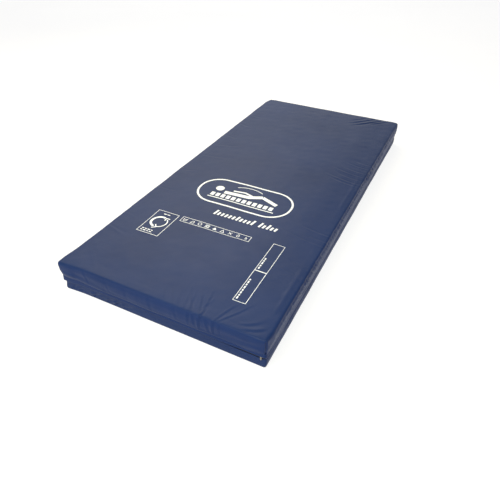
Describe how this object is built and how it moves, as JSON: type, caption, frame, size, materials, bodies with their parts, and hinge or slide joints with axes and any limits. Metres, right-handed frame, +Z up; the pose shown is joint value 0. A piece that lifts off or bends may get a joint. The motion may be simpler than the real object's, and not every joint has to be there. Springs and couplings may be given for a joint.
{
  "type": "pressure relief mattress",
  "caption": "Foam hospital mattress: a castellated foam core in a navy coated stretch cover that unzips on three sides under a rain flap.",
  "frame": {"origin": "middle of the underside, on the surface that the mattress lies on", "axes": "+Z up, +Y towards the head end, +X towards the right-hand long side, the one with no zip"},
  "size_m": [0.88, 1.97, 0.14],
  "materials": {
    "cover_cloth": "satin",
    "base_cloth": "satin",
    "zip_tape": "matte",
    "zip_coil": "satin",
    "zip_metal": "satin",
    "firm_foam": "matte",
    "soft_foam": "matte"
  },
  "bodies": {
    "base": {"base_panel": "base_cloth", "base_border_foot": "base_cloth", "base_border_head": "base_cloth", "base_border_left": "base_cloth", "base_border_right": "base_cloth", "zip_tape_lower": "zip_tape", "zip_coil_lower": "zip_coil", "zip_stop_lower": "zip_metal", "zip_stop_end": "zip_metal", "foam_base": "firm_foam", "foam_side_left": "firm_foam", "foam_side_right": "firm_foam", "foam_castellated": "soft_foam"},
    "top_cover": {"top_panel": "cover_cloth", "top_border_foot": "cover_cloth", "top_border_head": "cover_cloth", "top_border_left": "cover_cloth", "top_border_right": "cover_cloth", "zip_tape_upper": "zip_tape", "zip_coil_upper": "zip_coil", "zip_stop_upper": "zip_metal", "flap_return": "cover_cloth"},
    "flap_foot": {"flap_foot": "cover_cloth"},
    "flap_left": {"flap_left": "cover_cloth"},
    "flap_head": {"flap_head": "cover_cloth"},
    "zip_slider": {"zip_slider": "zip_metal"},
    "zip_pull": {"zip_pull": "zip_metal"}
  },
  "joints": [
    {"name": "top_cover_open", "type": "hinge", "parent": "base", "child": "top_cover", "pos_m": [0.437, 0, 0.057], "axis": [0, 1, 0], "range_deg": [0, 130]},
    {"name": "flap_foot_lift", "type": "hinge", "parent": "top_cover", "child": "flap_foot", "pos_m": [0, -0.9845, 0.0693], "axis": [-1, 0, 0], "range_deg": [0, 150]},
    {"name": "flap_left_lift", "type": "hinge", "parent": "top_cover", "child": "flap_left", "pos_m": [-0.4395, 0, 0.0693], "axis": [0, 1, 0], "range_deg": [0, 150]},
    {"name": "flap_head_lift", "type": "hinge", "parent": "top_cover", "child": "flap_head", "pos_m": [0, 0.9845, 0.0693], "axis": [1, 0, 0], "range_deg": [0, 150]},
    {"name": "zip_slide", "type": "slide", "parent": "base", "child": "zip_slider", "axis": [-1, 0, 0], "range_m": [0, 0.835]},
    {"name": "pull_swing", "type": "hinge", "parent": "zip_slider", "child": "zip_pull", "pos_m": [0.42, -0.9833, 0.057], "axis": [0, 1, 0], "range_deg": [-80, 80]}
  ]
}
